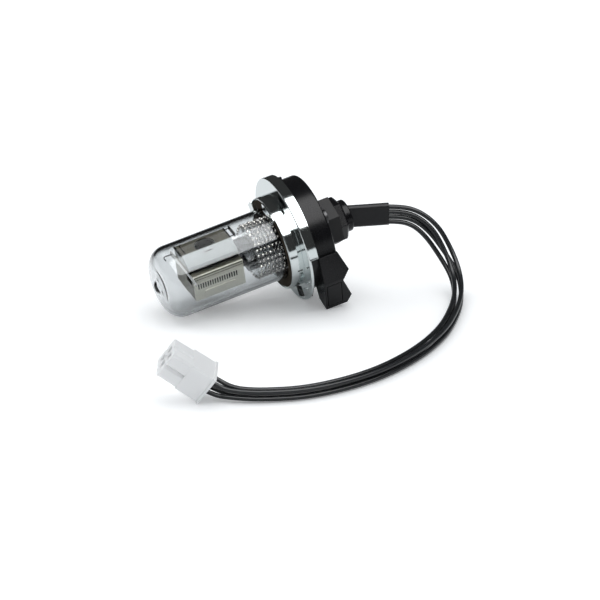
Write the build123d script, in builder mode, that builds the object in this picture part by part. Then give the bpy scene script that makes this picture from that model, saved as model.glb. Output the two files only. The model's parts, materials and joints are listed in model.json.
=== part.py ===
from build123d import *
from math import acos, atan2, cos, degrees, hypot, pi, radians, sin, sqrt, tan
import os

os.makedirs("parts", exist_ok=True)

# Sizes in millimetres. The lamp lies as it comes to rest: on the rounded end of its glass, the lower
# edge of its flange and a corner of its moulded tag. The floor is z = 0 and the glass points to -X.

# Glass envelope, measured forward from the front face of the flange
glass_radius = 14.0
glass_wall = 1.2
glass_length = 52.0
glass_corner = 7.0
glass_seat_depth = 6.0
pip_radius = 1.7
pip_height = 1.6

# Flange, a pressed cup with its rim turned backwards
flange_radius = 24.3
flange_thickness = 1.0
flange_rim_depth = 4.0
flange_edge = 0.5
rim_gap_start = -72
rim_gap_end = -1
socket_clearance = 0.3
keyway_clearance = 0.7
keyway_rim = 2.3
keyway_start = 58
keyway_end = 76
window_length = 7.0
window_clearance = 0.4
window_rim = 1.3
window_angle = -73
lance_length = 3.2
lance_angles = (-51, -37)
lance_height = 0.6

# Collar that grips the glass in front of the flange
collar_radius = 18.2
collar_height = 4.8
collar_wall = 1.4
collar_pad_start = 53
collar_pad_end = 87
collar_pad_height = 0.8
collar_lug_angle = 130
collar_lug_height = 1.6
collar_lug_width = 5.0
collar_step = 0.4
collar_slit_angle = -20
collar_slit_width = 0.7

# Electrode cage, turned about the lamp's axis so that its window looks up and towards the front
cage_start = 20.5
cage_length = 20.5
cage_roll = -13
cage_half_width = 7.8
cage_floor = -6.0
cage_top = 4.9
cage_sheet = 0.5
panel_thickness = 0.7
pocket_drop = 2.6
pocket_length = 12.8
pocket_width = 2.2
pocket_rise = 0.3
block_half_width = 5.1
block_height = 4.6
block_back = 7.1
block_front_lean = 0.3
block_step = 1.1
window_plate_thickness = 0.5
window_plate_edge = 0.2
arc_window_radius = 4.0
arc_bore_radius = 2.8
arc_window_offset = -2.0
cage_opening_width = 4.6
cage_opening_height = 3.2
cage_opening_offset = 4.2
anode_offset = -1.0
filament_wire = 0.35
filament_radius = 1.2
filament_offset = 3.4

# Glass stem and the rods that carry the cage
stem_radius = 9.4
stem_wall = 1.2
stem_tube_length = 9.0
pinch_width = 17.0
pinch_thickness = 6.4
pinch_end = 18.0
rod_radius = 0.5
rod_spacing = 4.2
rod_offset = 1.0
strap_width = 1.8
strap_thickness = 0.3
strap_gap = 0.3
strap_drop = 0.8
getter_rise_share = 0.38
getter_hook = 2.6
getter_bend = 1.2
getter_inset = 1.0
getter_wire = 0.5

# Black rear cap
cap_radius = 21.2
cap_depth = 12.5
cap_wall = 1.8
cap_cone_rise = 1.6
cap_edge = 1.0
cap_rib_angle = 118
cap_rib_width = 7.0
cap_rib_depth = 3.0
cap_rib_height = 1.2
screw_clearance = 0.4
screw_head_radius = 2.7
screw_head_height = 1.2
screw_inset = 3.7
screw_angles = (35, 215)

# Moulded tag beside the cap, drawn across the axis: x is towards the front, y is up
tag_front = 4.8
tag_top = -1.8
tag_proud = 1.0
tag_bend = -13.3
tag_bend_inset = 0.5
tag_foot_inset = 4.8
tag_heel_inset = 10.3
tag_heel_rise = 2.6
tag_heel_lean = 1.5
tag_valley_drop = 0.8
tag_ridge = 3.0
tag_panel_length = 5.6
tag_panel_height = 9.6
tag_panel_thickness = 0.5
tag_panel_gap = 0.3

# Cable gland
gland_base_flats = 17.2
gland_base_length = 6.6
gland_nut_flats = 14.6
gland_nut_length = 3.4
gland_ring_radius = 6.2
gland_ring_length = 2.6
gland_edge = 0.7

# Four wires, in a column at the sleeve and in a square on the floor
wire_diameter = 1.8
wire_clearance = 0.2
wire_spread = 0.9
sleeve_wall = 0.4
sleeve_yaw = -12.5
sleeve_drop = 0.8
sleeve_length = 15.6
sleeve_root = 2.0
sleeve_grip = 5.0

# Plug housing, its nose made of four joined towers
plug_length = 18.8
plug_width = 13.6
plug_depth = 12.7
plug_nose_length = 8.4
plug_nose_inset = 0.6
plug_lip = 1.0
plug_lip_length = 0.9
tower_chamfer = 1.0
cavity_pitch = 4.4
cavity_size = 2.8
contact_radius = 1.2
contact_length = 10.6
plug_rest_x = -70.2
plug_rest_y = -84.3
plug_nose_up = 35.0
plug_yaw = -19.5
plug_roll = 10.6
lead_in = 3.5

# Resting tilt: the glass's corner arc and the flange's edge both touch the floor
corner_axis = glass_radius - glass_corner
corner_height = glass_length - glass_corner
span = hypot(flange_radius - corner_axis, corner_height)
tilt = degrees(acos(glass_corner / span) - atan2(corner_height, flange_radius - corner_axis))
flange_height = flange_radius * cos(radians(tilt))

# Reach along X of the lamp from the centre of the flange's front face, for the origin
tip_reach = corner_height * cos(radians(tilt)) + corner_axis * sin(radians(tilt)) + glass_corner
gland_end = (
    cap_depth + cap_cone_rise + gland_base_length + gland_nut_length + gland_ring_length
)
rear_reach = gland_end * cos(radians(tilt)) + gland_ring_radius * sin(radians(tilt))
seat_x = (tip_reach - rear_reach) / 2

# In the lamp's plane x is towards the front, y is up and z runs to the tip of the glass
lamp = Plane(
    origin=(seat_x, 0, flange_height),
    x_dir=(0, -1, 0),
    z_dir=(-cos(radians(tilt)), 0, -sin(radians(tilt))),
)
lamp_axis = Axis(lamp.origin, lamp.z_dir)
profile = Plane(origin=lamp.origin, x_dir=lamp.x_dir, z_dir=-lamp.y_dir)
cage = Plane(
    origin=lamp.origin,
    x_dir=lamp.x_dir * cos(radians(cage_roll)) + lamp.y_dir * sin(radians(cage_roll)),
    z_dir=lamp.z_dir,
)
socket_radius = glass_radius + socket_clearance
glass_bore = glass_radius - glass_wall


# A point on the lamp's cross-section, given by its radius and its angle from the front
def polar(radius, angle):
    return (radius * cos(radians(angle)), radius * sin(radians(angle)))


# A closed ring sector, for use inside a sketch
def sector(inner, outer, start, end, mode=Mode.ADD):
    middle = (start + end) / 2
    outline = [
        Edge.make_three_point_arc(polar(outer, start), polar(outer, middle), polar(outer, end)),
        Edge.make_line(polar(outer, end), polar(inner, end)),
        Edge.make_three_point_arc(polar(inner, end), polar(inner, middle), polar(inner, start)),
        Edge.make_line(polar(inner, start), polar(outer, start)),
    ]
    make_face(outline, mode=mode)


def save(piece, name):
    piece.part.label = name
    export_step(piece.part, f"parts/{name}.step")


# Glass envelope: a blown tube with a rounded end and the pip where it was sealed off
with BuildPart() as glass_envelope:
    with BuildSketch(profile):
        with BuildLine():
            Polyline(
                (glass_bore, -glass_seat_depth),
                (glass_radius, -glass_seat_depth),
                (glass_radius, corner_height),
            )
            CenterArc((corner_axis, corner_height), glass_corner, 0, 90)
            Polyline(
                (corner_axis, glass_length),
                (0, glass_length),
                (0, glass_length - glass_wall),
                (corner_axis, glass_length - glass_wall),
            )
            CenterArc((corner_axis, corner_height), glass_corner - glass_wall, 0, 90)
            Line((glass_bore, corner_height), (glass_bore, -glass_seat_depth))
        make_face()
    revolve(axis=lamp_axis)
    with BuildSketch(lamp.offset(glass_length)):
        Circle(pip_radius)
    extrude(amount=pip_height, taper=24)
save(glass_envelope, "glass_envelope")

# Stem: a glass disc fused in the mouth of the envelope, its tube, and the flat pinch that seals the rods
rod_xs = [rod_spacing * (i - 1.5) for i in range(4)]
with BuildPart() as glass_stem:
    with BuildSketch(profile):
        with BuildLine():
            Polyline(
                (stem_radius - stem_wall, -glass_seat_depth),
                (glass_bore, -glass_seat_depth),
                (glass_bore, -glass_seat_depth + stem_wall),
                (stem_radius, -glass_seat_depth + stem_wall),
                (stem_radius, stem_tube_length),
                (0, stem_tube_length),
                (0, stem_tube_length - stem_wall),
                (stem_radius - stem_wall, stem_tube_length - stem_wall),
                close=True,
            )
        make_face()
    revolve(axis=lamp_axis)
    with BuildSketch(cage.offset(stem_tube_length)):
        SlotOverall(pinch_width, pinch_thickness)
    extrude(amount=pinch_end - stem_tube_length)
    with BuildSketch(cage.offset(-glass_seat_depth)):
        with Locations(*[(x, rod_offset) for x in rod_xs]):
            Circle(rod_radius)
    extrude(amount=glass_seat_depth + pinch_end, mode=Mode.SUBTRACT)
save(glass_stem, "glass_stem")

# Four rods pass through the pinch and carry the cage by its end plate
rod_tail = cap_depth - cap_wall
with BuildPart() as support_rods:
    with BuildSketch(cage.offset(-rod_tail)):
        with Locations(*[(x, rod_offset) for x in rod_xs]):
            Circle(rod_radius)
    extrude(amount=rod_tail + cage_start)
save(support_rods, "support_rods")

# Flange, with a curved keyway, a window and two lances in the band outside the collar
window_inner = collar_radius + window_clearance
window_outer = flange_radius - window_rim
window_radius = (window_inner + window_outer) / 2
window_width = window_outer - window_inner
with BuildPart() as mounting_flange:
    with BuildSketch(lamp):
        Circle(flange_radius)
        Circle(socket_radius, mode=Mode.SUBTRACT)
        sector(
            collar_radius + keyway_clearance,
            flange_radius - keyway_rim,
            keyway_start,
            keyway_end,
            Mode.SUBTRACT,
        )
        with Locations(polar(window_radius, window_angle)):
            Rectangle(window_length, window_width, rotation=window_angle + 90, mode=Mode.SUBTRACT)
    extrude(amount=-flange_thickness)
    with BuildSketch(lamp.offset(-flange_thickness)):
        sector(flange_radius - flange_thickness, flange_radius, rim_gap_end, 180)
        sector(flange_radius - flange_thickness, flange_radius, 180, 360 + rim_gap_start)
    extrude(amount=flange_thickness - flange_rim_depth)
    with BuildSketch(lamp):
        for angle in lance_angles:
            with Locations(polar(window_radius, angle)):
                Rectangle(lance_length, lance_height, rotation=window_angle + 90)
    extrude(amount=lance_height)
    front_edge = mounting_flange.edges().filter_by(GeomType.CIRCLE)
    front_edge = front_edge.filter_by(lambda edge: abs(edge.radius - flange_radius) < 1e-4).sort_by(lamp_axis)
    fillet(front_edge[-1:], flange_edge)
save(mounting_flange, "mounting_flange")

# Collar, with a raised pad and a lug on its front face
step_radius = collar_radius - collar_step
with BuildPart() as collar_ring:
    with BuildSketch(lamp):
        Circle(collar_radius)
        Circle(collar_radius - collar_wall, mode=Mode.SUBTRACT)
    extrude(amount=collar_height - collar_wall)
    with BuildSketch(lamp.offset(collar_height - collar_wall)):
        Circle(collar_radius)
        Circle(socket_radius, mode=Mode.SUBTRACT)
    extrude(amount=collar_wall)
    with BuildSketch(lamp.offset(collar_height)):
        sector(socket_radius, step_radius, collar_pad_start, collar_pad_end)
    extrude(amount=collar_pad_height)
    lug_half = degrees(collar_lug_width / collar_radius / 2)
    with BuildSketch(lamp.offset(collar_height)):
        sector(socket_radius, step_radius, collar_lug_angle - lug_half, collar_lug_angle + lug_half)
    extrude(amount=collar_lug_height)
    slit_half = degrees(collar_slit_width / collar_radius / 2)
    with BuildSketch(lamp.offset(collar_slit_width)):
        sector(
            collar_radius - collar_wall,
            collar_radius,
            collar_slit_angle - slit_half,
            collar_slit_angle + slit_half,
        )
    extrude(amount=collar_height - collar_wall - 2 * collar_slit_width, mode=Mode.SUBTRACT)
save(collar_ring, "collar_ring")

# Cement that holds the glass inside the collar
with BuildPart() as potting_ring:
    with BuildSketch(lamp):
        Circle(collar_radius - collar_wall)
        Circle(glass_radius, mode=Mode.SUBTRACT)
    extrude(amount=(collar_height - collar_wall) / 2)
save(potting_ring, "potting_ring")

# Lower shield of the cage: a box of sheet with an opening in its tip end
cage_end = cage_start + cage_length
with BuildPart() as rear_shield:
    with BuildSketch(cage.offset(cage_start)):
        with Locations((0, (cage_floor + cage_top) / 2)):
            Rectangle(2 * cage_half_width, cage_top - cage_floor)
    extrude(amount=cage_length)
    with BuildSketch(cage.offset(cage_start + cage_sheet)):
        with Locations((0, (cage_floor + cage_top) / 2)):
            Rectangle(
                2 * (cage_half_width - cage_sheet),
                cage_top - cage_floor - 2 * cage_sheet,
            )
    extrude(amount=cage_length - 2 * cage_sheet, mode=Mode.SUBTRACT)
    with BuildSketch(cage.offset(cage_end)):
        with Locations((cage_opening_offset, cage_top - cage_opening_height)):
            Rectangle(cage_opening_width, cage_opening_height)
    extrude(amount=-cage_sheet, mode=Mode.SUBTRACT)
save(rear_shield, "rear_shield")

# Pale front panel of the cage, with its long pocket embossed
with BuildPart() as front_shield:
    with BuildSketch(cage.offset(cage_start)):
        with Locations((cage_half_width + panel_thickness / 2, (cage_floor + cage_top) / 2)):
            Rectangle(panel_thickness, cage_top - cage_floor)
    extrude(amount=cage_length)
    pocket = Plane(
        origin=cage.from_local_coords((cage_half_width + panel_thickness, cage_floor + pocket_drop, 0)),
        x_dir=cage.z_dir,
        z_dir=cage.x_dir,
    )
    with BuildSketch(pocket):
        with Locations((cage_start + cage_length / 2, 0)):
            SlotOverall(pocket_length, pocket_width)
    extrude(amount=pocket_rise)
save(front_shield, "front_shield")

# Ceramic block on top, its front edge sloped, with a bore for the light
block_floor = cage_top + block_step
block_top = cage_top + block_height
window_floor = block_top - window_plate_thickness
with BuildPart() as ceramic_spacer:
    with BuildSketch(cage.offset(cage_start)):
        with BuildLine():
            Polyline(
                (-block_back, block_floor),
                (block_half_width, block_floor),
                (block_half_width - block_front_lean, block_floor + block_step),
                (0, block_top + window_plate_edge),
                (-window_plate_edge, block_top + window_plate_edge),
                (-window_plate_edge, window_floor),
                (-block_back, window_floor),
                close=True,
            )
        make_face()
    extrude(amount=cage_length)
    light = Plane(
        origin=cage.from_local_coords((arc_window_offset, block_floor, cage_start + cage_length / 2)),
        x_dir=cage.z_dir,
        z_dir=cage.y_dir,
    )
    with BuildSketch(light):
        Circle(arc_bore_radius)
    extrude(amount=window_floor - block_floor, mode=Mode.SUBTRACT)
save(ceramic_spacer, "ceramic_spacer")

# Window plate, dark metal, with the round hole that the light leaves by
with BuildPart() as aperture_plate:
    with BuildSketch(cage.offset(cage_start)):
        with Locations(
            ((-block_back - window_plate_edge) / 2, window_floor + window_plate_thickness / 2)
        ):
            Rectangle(block_back - window_plate_edge, window_plate_thickness)
    extrude(amount=cage_length)
    with BuildSketch(light.offset(window_floor - block_floor)):
        Circle(arc_window_radius)
    extrude(amount=window_plate_thickness, mode=Mode.SUBTRACT)
save(aperture_plate, "aperture_plate")

# Dark strip between the block and the lower shield
with BuildPart() as anode_plate:
    with BuildSketch(cage.offset(cage_start)):
        with Locations((anode_offset, cage_top + block_step / 2)):
            Rectangle(2 * block_half_width, block_step)
    extrude(amount=cage_length)
save(anode_plate, "anode_plate")

# Coiled cathode along the inside of the lower shield
with BuildPart() as cathode_filament:
    with BuildSketch(cage.offset(cage_start + cage_sheet)):
        with Locations((filament_offset, 0)):
            Circle(filament_radius)
            Circle(filament_radius - filament_wire, mode=Mode.SUBTRACT)
    extrude(amount=cage_length - 2 * cage_sheet)
save(cathode_filament, "cathode_filament")

# Strap across the tip end of the cage, sprung against the glass
strap_half = sqrt(glass_bore**2 - cage_top**2) - strap_gap
with BuildPart() as centring_strap:
    with BuildSketch(cage.offset(cage_end)):
        with Locations((0, cage_top - strap_drop)):
            Rectangle(2 * strap_half, strap_width)
    extrude(amount=strap_thickness)
save(centring_strap, "centring_strap")

# Getter wire: it rises from the strap and hooks back towards the middle of the tube
getter_foot = (-strap_half + getter_inset, cage_top - strap_drop, cage_end + strap_thickness)
getter_rise = (glass_length - glass_wall - getter_foot[2]) * getter_rise_share
getter_points = [
    cage.from_local_coords(getter_foot),
    cage.from_local_coords((getter_foot[0], getter_foot[1], getter_foot[2] + getter_rise)),
    cage.from_local_coords((getter_foot[0] + getter_hook, getter_foot[1], getter_foot[2] + getter_rise)),
]
with BuildPart() as getter_loop:
    with BuildLine():
        FilletPolyline(*getter_points, radius=getter_bend)
    with BuildSketch(Plane(origin=getter_points[0], z_dir=cage.z_dir)):
        Circle(getter_wire / 2)
    sweep()
save(getter_loop, "getter_loop")

# Rear cap, hollow, with a low cone at the back
gland_seat = gland_base_flats / sqrt(3)
screw_circle = cap_radius - screw_inset
with BuildPart() as rear_cap:
    with BuildSketch(profile):
        with BuildLine():
            Polyline(
                (cap_radius - cap_wall, -flange_thickness),
                (cap_radius, -flange_thickness),
                (cap_radius, -cap_depth),
                (gland_seat, -cap_depth - cap_cone_rise),
                (0, -cap_depth - cap_cone_rise),
                (0, -cap_depth - cap_cone_rise + cap_wall),
                (gland_seat, -cap_depth - cap_cone_rise + cap_wall),
                (cap_radius - cap_wall, -cap_depth + cap_wall),
                close=True,
            )
        make_face()
    revolve(axis=lamp_axis)
    rib_half = degrees(cap_rib_width / cap_radius / 2)
    with BuildSketch(lamp.offset(-flange_rim_depth)):
        sector(
            cap_radius - cap_wall,
            cap_radius + cap_rib_height,
            cap_rib_angle - rib_half,
            cap_rib_angle + rib_half,
        )
    extrude(amount=-cap_rib_depth)
    with BuildSketch(lamp.offset(-cap_depth)):
        with Locations(*[polar(screw_circle, angle) for angle in screw_angles]):
            Circle(screw_head_radius + screw_clearance)
    extrude(amount=-cap_cone_rise, mode=Mode.SUBTRACT)
    back_edge = rear_cap.edges().filter_by(GeomType.CIRCLE)
    back_edge = back_edge.filter_by(lambda edge: abs(edge.radius - cap_radius) < 1e-4).sort_by(lamp_axis)
    fillet(back_edge[:1], cap_edge)
save(rear_cap, "rear_cap")

# Two screws hold the cap to the flange from behind
with BuildPart() as cap_screws:
    with BuildSketch(lamp.offset(-cap_depth)):
        with Locations(*[polar(screw_circle, angle) for angle in screw_angles]):
            Circle(screw_head_radius)
    extrude(amount=-screw_head_height)
save(cap_screws, "cap_screws")

# Tag: a moulded block beside the cap, its foot on the floor, with two wedge ridges at the back
tag_foot = -(flange_radius + tag_front * tan(radians(tilt)))
tag_face = cap_radius + tag_proud
tag_bend_face = tag_face - tag_bend_inset
tag_foot_face = tag_face - tag_foot_inset
tag_heel_face = tag_face - tag_heel_inset
facet_run = hypot(tag_bend_face - tag_foot_face, tag_bend - tag_foot)
facet_x = (tag_bend - tag_foot) / facet_run
facet_y = (tag_foot_face - tag_bend_face) / facet_run
facet = Plane(
    origin=lamp.from_local_coords(
        (
            (tag_bend_face + tag_foot_face) / 2,
            (tag_bend + tag_foot) / 2,
            -(tag_front + cap_depth) / 2,
        )
    ),
    x_dir=lamp.z_dir,
    z_dir=lamp.x_dir * facet_x + lamp.y_dir * facet_y,
)
side_view = Plane(origin=lamp.origin, x_dir=lamp.y_dir, z_dir=lamp.x_dir)
with BuildPart() as tag_holder:
    with BuildSketch(lamp.offset(-tag_front)):
        with BuildLine():
            Polyline(
                (cap_radius / 2, tag_top),
                (tag_face, tag_top),
                (tag_bend_face, tag_bend),
                (tag_foot_face, tag_foot),
                (tag_heel_face, tag_foot + tag_heel_rise),
                (tag_heel_face - tag_heel_lean, tag_bend),
                close=True,
            )
        make_face()
        Circle(cap_radius, mode=Mode.SUBTRACT)
    extrude(amount=tag_front - cap_depth - tag_ridge)
    with BuildSketch(side_view):
        with BuildLine():
            Polyline(
                (tag_top, -tag_front),
                (tag_top, -cap_depth),
                (tag_bend + tag_ridge, -cap_depth - tag_ridge),
                (tag_bend - tag_valley_drop, -cap_depth),
                (tag_foot + tag_ridge, -cap_depth - tag_ridge),
                (tag_foot, -cap_depth - tag_ridge / 3),
                (tag_foot, -tag_front),
                close=True,
            )
        make_face()
    extrude(amount=2 * tag_face, mode=Mode.INTERSECT)
    with BuildSketch(facet):
        Rectangle(tag_panel_length + 2 * tag_panel_gap, tag_panel_height + 2 * tag_panel_gap)
    extrude(amount=-tag_panel_thickness, mode=Mode.SUBTRACT)
save(tag_holder, "tag_holder")

with BuildPart() as tag_panel:
    with BuildSketch(facet.offset(-tag_panel_thickness)):
        RectangleRounded(tag_panel_length, tag_panel_height, tag_panel_gap)
    extrude(amount=tag_panel_thickness)
save(tag_panel, "tag_panel")

# Gland: a hexagonal rubber base, its nut and the ring that the sleeve leaves by
gland_start = cap_depth + cap_cone_rise
nut_start = gland_start + gland_base_length
ring_start = nut_start + gland_nut_length
with BuildPart() as gland_base:
    with BuildSketch(lamp.offset(-gland_start)):
        RegularPolygon(gland_base_flats / 2, 6, major_radius=False, rotation=30)
    extrude(amount=-gland_base_length)
save(gland_base, "gland_base")

with BuildPart() as gland_nut:
    with BuildSketch(lamp.offset(-nut_start)):
        RegularPolygon(gland_nut_flats / 2, 6, major_radius=False)
    extrude(amount=-gland_nut_length)
    chamfer(gland_nut.faces().sort_by(lamp_axis)[0].edges(), gland_edge)
save(gland_nut, "gland_nut")

with BuildPart() as gland_ring:
    with BuildSketch(lamp.offset(-ring_start)):
        Circle(gland_ring_radius)
    extrude(amount=-gland_ring_length)
    fillet(gland_ring.faces().sort_by(lamp_axis)[0].edges(), gland_edge)
save(gland_ring, "gland_ring")

# Heat-shrink sleeve: level, flat, and open at its end for the four wires
wire_pitch = wire_diameter + wire_clearance
sleeve = Plane(
    origin=lamp.from_local_coords((0, -sleeve_drop, -gland_end)),
    x_dir=(0, 0, 1),
    z_dir=(cos(radians(sleeve_yaw)), sin(radians(sleeve_yaw)), 0),
)
stack_height = 4 * wire_pitch
with BuildPart() as heat_shrink_sleeve:
    with BuildSketch(sleeve.offset(-sleeve_root)):
        SlotOverall(stack_height + 2 * sleeve_wall, wire_pitch + 2 * sleeve_wall)
    extrude(amount=sleeve_length + sleeve_root)
    split(bisect_by=lamp.offset(-gland_end), keep=Keep.BOTTOM)
    with BuildSketch(sleeve.offset(sleeve_length)):
        SlotOverall(stack_height, wire_pitch)
    extrude(amount=-sleeve_grip, mode=Mode.SUBTRACT)
save(heat_shrink_sleeve, "heat_shrink_sleeve")

# Plug: its rear face's plane, with z towards the nose, placed by the corner that rests on the floor
wire_exit = Vector(
    cos(radians(plug_nose_up)) * cos(radians(plug_yaw)),
    cos(radians(plug_nose_up)) * sin(radians(plug_yaw)),
    -sin(radians(plug_nose_up)),
)
plug_level = Vector(sin(radians(plug_yaw)), -cos(radians(plug_yaw)), 0)
plug_rise = plug_level.cross(wire_exit)
plug_side = plug_level * cos(radians(plug_roll)) - plug_rise * sin(radians(plug_roll))
plug_up = plug_side.cross(wire_exit)
plug = Plane(
    origin=Vector(seat_x + plug_rest_x, plug_rest_y, 0)
    - plug_side * (plug_width / 2)
    + plug_up * (plug_depth / 2),
    x_dir=plug_side,
    z_dir=-wire_exit,
)
cavities = GridLocations(cavity_pitch, cavity_pitch, 2, 2)
body_length = plug_length - plug_nose_length
with BuildPart() as plug_housing:
    with BuildSketch(plug):
        RectangleRounded(plug_width, plug_depth, plug_lip / 2)
    extrude(amount=plug_lip_length)
    with BuildSketch(plug.offset(plug_lip_length)):
        Rectangle(plug_width - plug_lip, plug_depth - plug_lip)
    extrude(amount=body_length - plug_lip_length)
    tower_width = plug_width / 2 - plug_nose_inset
    tower_depth = plug_depth / 2 - plug_nose_inset
    with BuildSketch(plug.offset(body_length)):
        with BuildSketch(mode=Mode.PRIVATE) as tower:
            Rectangle(tower_width, tower_depth)
            chamfer(tower.vertices(), tower_chamfer)
        with GridLocations(tower_width, tower_depth, 2, 2):
            add(tower.sketch)
    extrude(amount=plug_nose_length)
    with BuildSketch(plug):
        with cavities:
            RectangleRounded(cavity_size, cavity_size, cavity_size / 8)
    extrude(amount=plug_length, mode=Mode.SUBTRACT)
save(plug_housing, "plug_housing")

with BuildPart() as plug_contacts:
    with BuildSketch(plug.offset(lead_in)):
        with cavities:
            Circle(contact_radius)
            Circle(contact_radius / 2, mode=Mode.SUBTRACT)
    extrude(amount=contact_length)
save(plug_contacts, "plug_contacts")

# Route of the four wires' common centre, from the flange's centre along the floor to the plug, and how
# far the wires have turned by then from a column into a square, in degrees
bundle_route = [
    ((43.5, -3.9, 28.7), 0),
    ((50.4, -7.0, 27.5), 5),
    ((56.1, -10.2, 22.4), 20),
    ((60.3, -13.3, 14.3), 45),
    ((62.3, -19.1, 7.1), 65),
    ((58.9, -29.7, 3.2), 80),
    ((50.6, -44.4, 2.6), 90),
    ((38.3, -61.4, 2.6), 90),
    ((20.3, -77.5, 2.6), 90),
    ((-3.0, -90.6, 2.6), 90),
    ((-29.0, -95.5, 2.6), 90),
    ((-46.8, -91.4, 2.7), 90),
    ((-56.4, -86.8, 3.2), 90),
]


# Where one wire lies across the bundle, as a step to its right and a step up
def wire_place(index, turn):
    pitch = wire_pitch + wire_spread * sin(radians(turn))
    side = pitch / 2 * sin(radians(turn))
    rise = pitch / 2 * cos(radians(turn))
    centre = max(pitch / 2, 2 * rise)
    return [
        (-side, centre + rise),
        (side, centre - rise),
        (-side, rise - centre),
        (side, -rise - centre),
    ][index]


def wire_route(index):
    centres = [Vector(seat_x + x, y, z) for (x, y, z), turn in bundle_route]
    start = sleeve.offset(sleeve_length - sleeve_grip)
    route = [start.from_local_coords((wire_place(index, 0)[1], 0, 0))]
    before = [start.origin] + centres
    after = centres[1:] + [plug.from_local_coords((0, 0, -lead_in))]
    for last, centre, following, (point, turn) in zip(before, centres, after, bundle_route):
        along = (following - last).normalized()
        across = along.cross(Vector(0, 0, 1)).normalized()
        side, rise = wire_place(index, turn)
        route.append(centre + across * side + across.cross(along) * rise)
    cavity = cavity_order[index]
    spot = Vector(*[cavity_pitch / 2 * sign for sign in cavity])
    route.append(plug.from_local_coords(spot - Vector(0, 0, lead_in)))
    route.append(plug.from_local_coords(spot + Vector(0, 0, lead_in)))
    return route


# Tangent arcs as large as their two runs allow
def corner_radii(route):
    radii = []
    for last, point, following in zip(route, route[1:], route[2:]):
        turn = radians((point - last).get_angle(following - point))
        shorter = min((point - last).length, (following - point).length)
        radii.append(0.45 * shorter / tan(turn / 2))
    return radii


cavity_order = [(1, 1), (-1, 1), (1, -1), (-1, -1)]
for index in range(4):
    route = wire_route(index)
    radii = corner_radii(route)
    with BuildPart() as lead_wire:
        with BuildLine() as path:
            FilletPolyline(*route, radius=radii)
        with BuildSketch(Plane(origin=route[0], z_dir=path.line % 0)):
            Circle(wire_diameter / 2)
        sweep()
    save(lead_wire, f"lead_wire_{index + 1}")
    length = path.wires()[0].length
    section = pi * wire_diameter**2 / 4
    print(
        f"lead_wire_{index + 1}",
        f"length {length:.1f}, volume over section times length {lead_wire.part.volume / section / length:.4f},",
        f"lowest {lead_wire.part.bounding_box().min.Z:.2f},",
        "radii",
        " ".join(f"{radius:.0f}" for radius in radii),
    )
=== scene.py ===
import bpy
import bmesh
import json
import math
from mathutils import Matrix, Vector


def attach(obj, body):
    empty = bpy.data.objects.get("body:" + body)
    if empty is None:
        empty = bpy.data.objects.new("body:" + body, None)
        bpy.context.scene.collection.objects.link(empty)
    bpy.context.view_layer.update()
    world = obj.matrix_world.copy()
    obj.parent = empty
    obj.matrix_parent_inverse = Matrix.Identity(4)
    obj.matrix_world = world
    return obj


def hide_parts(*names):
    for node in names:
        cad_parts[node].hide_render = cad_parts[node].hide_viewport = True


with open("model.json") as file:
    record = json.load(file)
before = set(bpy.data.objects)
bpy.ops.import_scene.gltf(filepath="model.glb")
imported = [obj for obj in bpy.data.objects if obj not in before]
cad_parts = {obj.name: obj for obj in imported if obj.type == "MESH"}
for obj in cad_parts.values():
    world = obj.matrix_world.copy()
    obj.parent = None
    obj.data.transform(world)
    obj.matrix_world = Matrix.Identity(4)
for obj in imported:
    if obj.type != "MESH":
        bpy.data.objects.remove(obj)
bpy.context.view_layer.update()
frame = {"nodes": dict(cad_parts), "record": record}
nodes = frame["nodes"]
mounts = {mount["name"]: mount for mount in frame["record"]["mounts"]}
mm = 0.001
print("frame loaded")


# The lamp's own axes: across runs to the front, lift away from the floor, along to the glass tip
collar = dict(height=4.8)
along = Vector(mounts["collar"]["axis"]).normalized()
across = Vector((0, -1, 0))
lift = along.cross(across)
seat = Vector(mounts["collar"]["pos_m"]) - along * collar["height"] / 2 * mm


def lampPoint(x, y, z):
    return seat + (across * x + lift * y + along * z) * mm


cageRoll = math.radians(-13)  # the cage is turned about the lamp's axis
cageAcross = across * math.cos(cageRoll) + lift * math.sin(cageRoll)
cageUp = along.cross(cageAcross)


def cageMatrix(x, y, z):
    turn = Matrix((cageAcross, cageUp, along)).transposed().to_4x4()
    return Matrix.Translation(seat + (cageAcross * x + cageUp * y + along * z) * mm) @ turn


def lampMatrix(z):
    turn = Matrix((across, lift, along)).transposed().to_4x4()
    return Matrix.Translation(seat + along * z * mm) @ turn


# Camera: the photo's angle, with the flange's centre where the photo has it
shot = dict(
    azimuth=-23,
    elevation=22,
    distance=5.0,
    mmPerPixel=0.375,
    image=600,
    sensor=36,
    clip=(0.01, 20),
    flangePixel=(283.35, 239.08),
)


def makeCamera(s):
    a, e = math.radians(s["azimuth"]), math.radians(s["elevation"])
    back = Vector((math.sin(a) * math.cos(e), -math.cos(a) * math.cos(e), math.sin(e)))
    right = Vector((math.cos(a), math.sin(a), 0))
    upward = back.cross(right)
    stepX = (s["image"] / 2 - s["flangePixel"][0]) * s["mmPerPixel"] * mm
    stepY = (s["image"] / 2 - s["flangePixel"][1]) * s["mmPerPixel"] * mm
    aim = seat + right * stepX - upward * stepY
    data = bpy.data.cameras.new("camera")
    data.sensor_width = s["sensor"]
    data.lens = s["sensor"] * s["distance"] / (s["image"] * s["mmPerPixel"] * mm)
    data.clip_start, data.clip_end = s["clip"]
    camera = bpy.data.objects.new("camera", data)
    camera.location = aim + back * s["distance"]
    camera.rotation_mode = "QUATERNION"
    camera.rotation_quaternion = back.to_track_quat("Z", "Y")
    bpy.context.collection.objects.link(camera)
    bpy.context.scene.camera = camera


makeCamera(shot)
print("camera made")


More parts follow.
